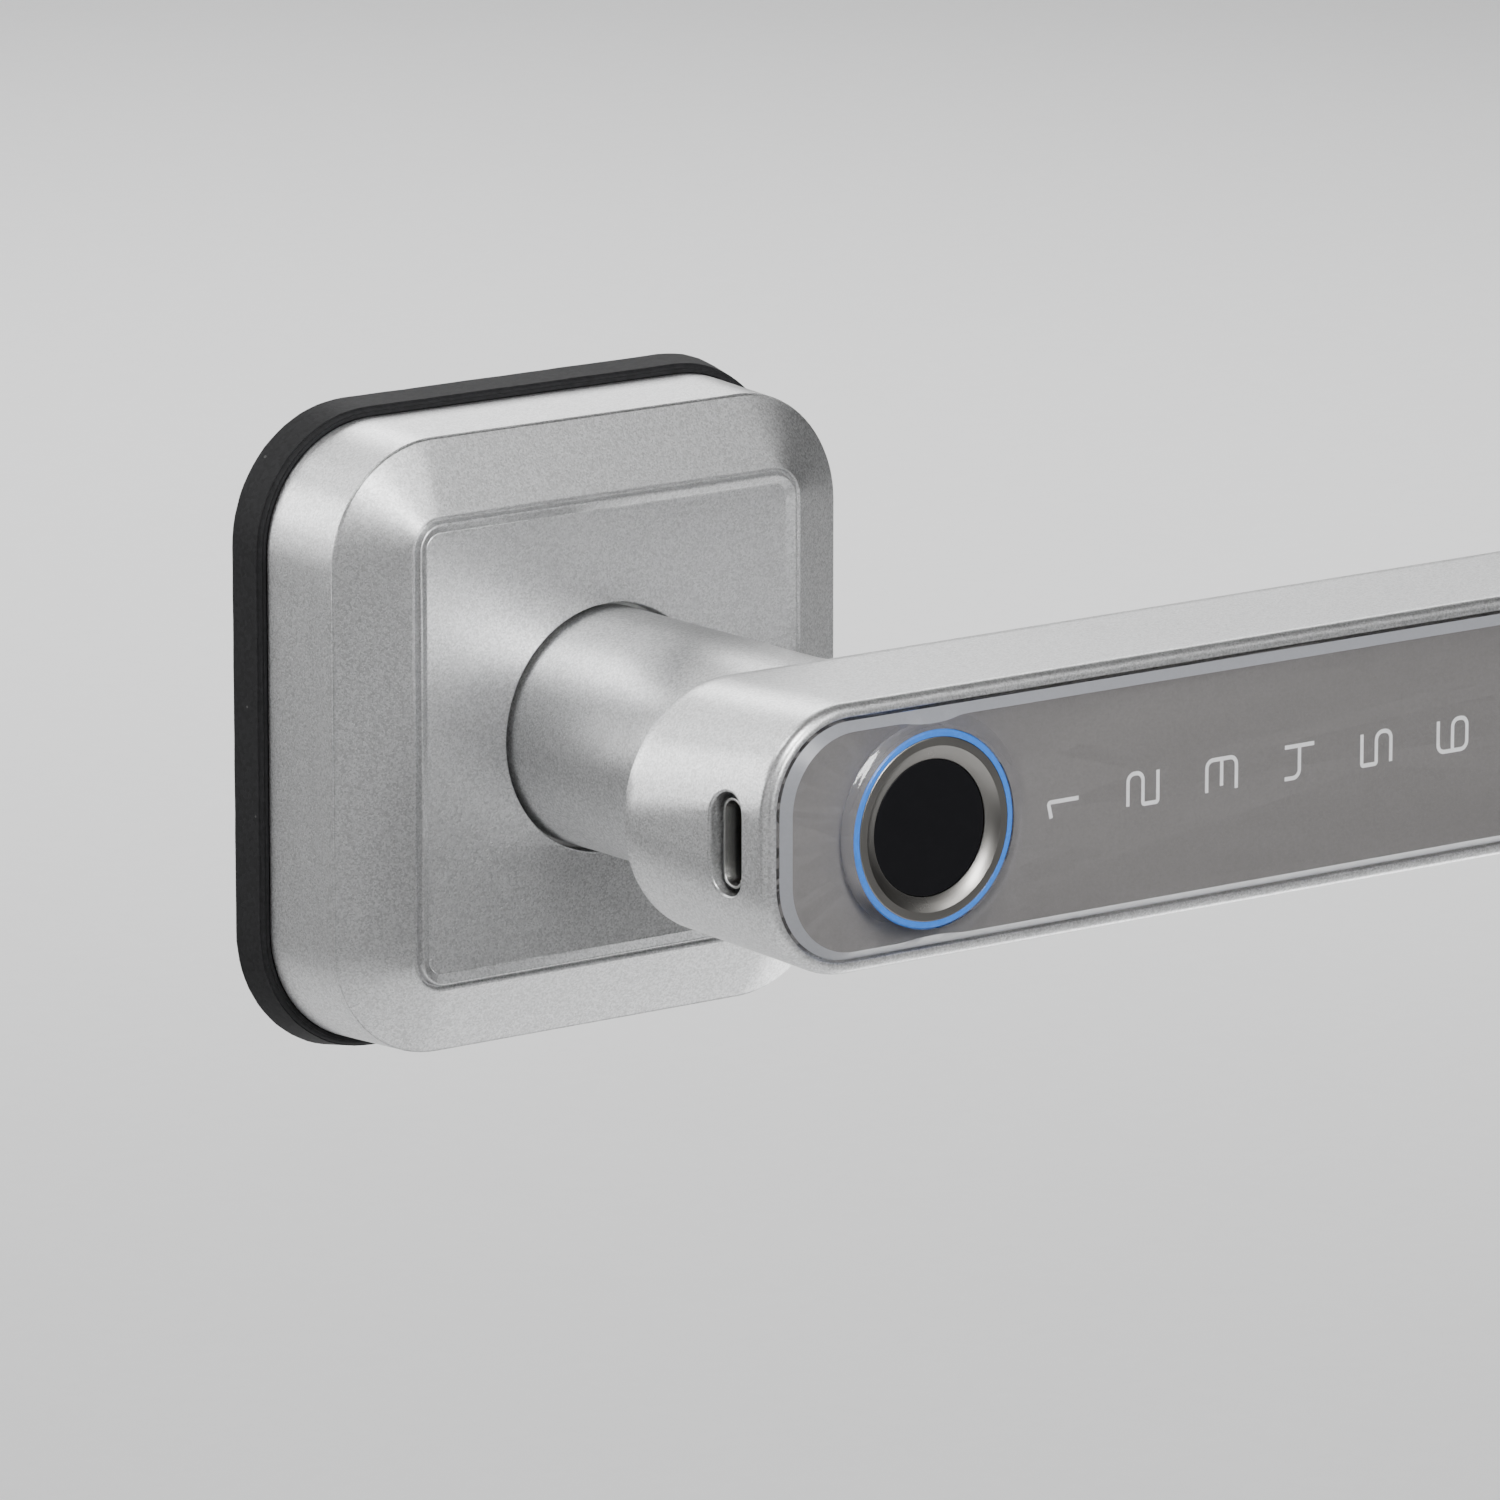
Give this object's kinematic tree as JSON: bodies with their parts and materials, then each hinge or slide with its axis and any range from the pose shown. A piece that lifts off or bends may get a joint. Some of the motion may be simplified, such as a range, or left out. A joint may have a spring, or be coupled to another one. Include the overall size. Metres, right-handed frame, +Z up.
{
  "type": "keypad smart lock",
  "caption": "Outside handle set of a keypad door lock: square rose, sprung lever with touch keypad, fingerprint sensor and charging port, square spindle and fixing posts.",
  "frame": {"origin": "centre of the gasket's back face, on the door's surface and on the lever's turning axis", "axes": "-Y points out of the door, +X runs along the lever towards its free end, +Z is up"},
  "size_m": [0.1613, 0.11, 0.0666],
  "materials": {
    "gasket_rubber": "matt black moulded rubber",
    "zinc_casting": "bare zinc die casting",
    "zinc_plated_steel": "bright zinc plate",
    "silver_paint": "satin silver metallic paint with a fine sparkle",
    "bearing_nylon": "natural nylon",
    "spring_steel": "oiled spring steel",
    "lens_acrylic": "clear polished acrylic with a frosted bevel",
    "mask_film": "grey printed film",
    "digit_diffuser": "pale translucent digits",
    "circuit_board": "green solder mask",
    "light_guide_acrylic": "clear acrylic bar",
    "led_package": "white package with a yellow phosphor",
    "chip_epoxy": "black epoxy",
    "tray_plastic": "black glass-filled nylon",
    "cell_wrap": "silver laminated pouch",
    "sensor_glass": "black coated glass",
    "bezel_steel": "dark turned steel",
    "blue_light_ring": "blue lit acrylic ring",
    "port_steel": "plain drawn steel",
    "port_plastic": "black moulded plastic",
    "contact_gold": "gold flash on brass",
    "spindle_steel": "drawn square steel"
  },
  "bodies": {
    "door_side": {"door_gasket": "gasket_rubber", "mounting_plate": "zinc_casting", "fixing_posts": "zinc_plated_steel", "rosette_cover": "silver_paint", "cover_screw": "zinc_plated_steel", "neck_bushing": "bearing_nylon", "return_spring": "spring_steel"},
    "lever": {"lever_body": "silver_paint", "spring_cam": "zinc_plated_steel", "thrust_washer": "zinc_plated_steel", "neck_circlip": "spring_steel", "hub_ring": "spring_steel", "lens": "lens_acrylic", "lens_tape": "mask_film", "panel_mask": "mask_film", "digit_marks": "digit_diffuser", "touch_board": "circuit_board", "light_guide": "light_guide_acrylic", "key_leds": "led_package", "main_board": "circuit_board", "board_chips": "chip_epoxy", "board_screws": "zinc_plated_steel", "chassis_tray": "tray_plastic", "chassis_screws": "zinc_plated_steel", "battery_cell": "cell_wrap", "buzzer": "tray_plastic", "sensor_disc": "sensor_glass", "sensor_bezel": "bezel_steel", "light_ring": "blue_light_ring", "sensor_module": "tray_plastic", "sensor_board": "circuit_board", "ring_leds": "led_package", "sensor_holder": "tray_plastic", "usb_shell": "port_steel", "usb_tongue": "port_plastic", "usb_contacts": "contact_gold", "usb_board": "circuit_board", "clutch_motor": "port_steel", "motor_bracket": "tray_plastic"},
    "clutch": {"clutch_slider": "zinc_plated_steel"},
    "motor_screw": {"lead_screw": "contact_gold"},
    "spindle": {"spindle_hub": "zinc_plated_steel", "spindle": "spindle_steel", "spindle_pin": "spring_steel"}
  },
  "joints": [
    {"name": "lever_turn", "type": "hinge", "parent": "door_side", "child": "lever", "pos_m": [0, -0.0082, 0], "axis": [0, 1, 0], "range_deg": [0, 45], "stiffness_Nm_per_rad": 0.65, "springref_deg": -45.84, "deforming": ["return_spring"]},
    {"name": "spindle_turn", "type": "hinge", "parent": "door_side", "child": "spindle", "pos_m": [0, 0, 0], "axis": [0, 1, 0], "range_deg": [0, 45]},
    {"name": "motor_screw_turn", "type": "hinge", "parent": "lever", "child": "motor_screw", "pos_m": [0, -0.03, 0], "axis": [0, 1, 0], "range_deg": [0, 720]},
    {"name": "clutch_slide", "type": "slide", "parent": "lever", "child": "clutch", "axis": [0, -1, 0], "range_m": [0, 0.0025]}
  ],
  "couplings": [
    {"joint": "spindle_turn", "follows": "lever_turn", "ratio": 1},
    {"joint": "motor_screw_turn", "follows": "clutch_slide", "rad_per_m": 5026.5}
  ]
}
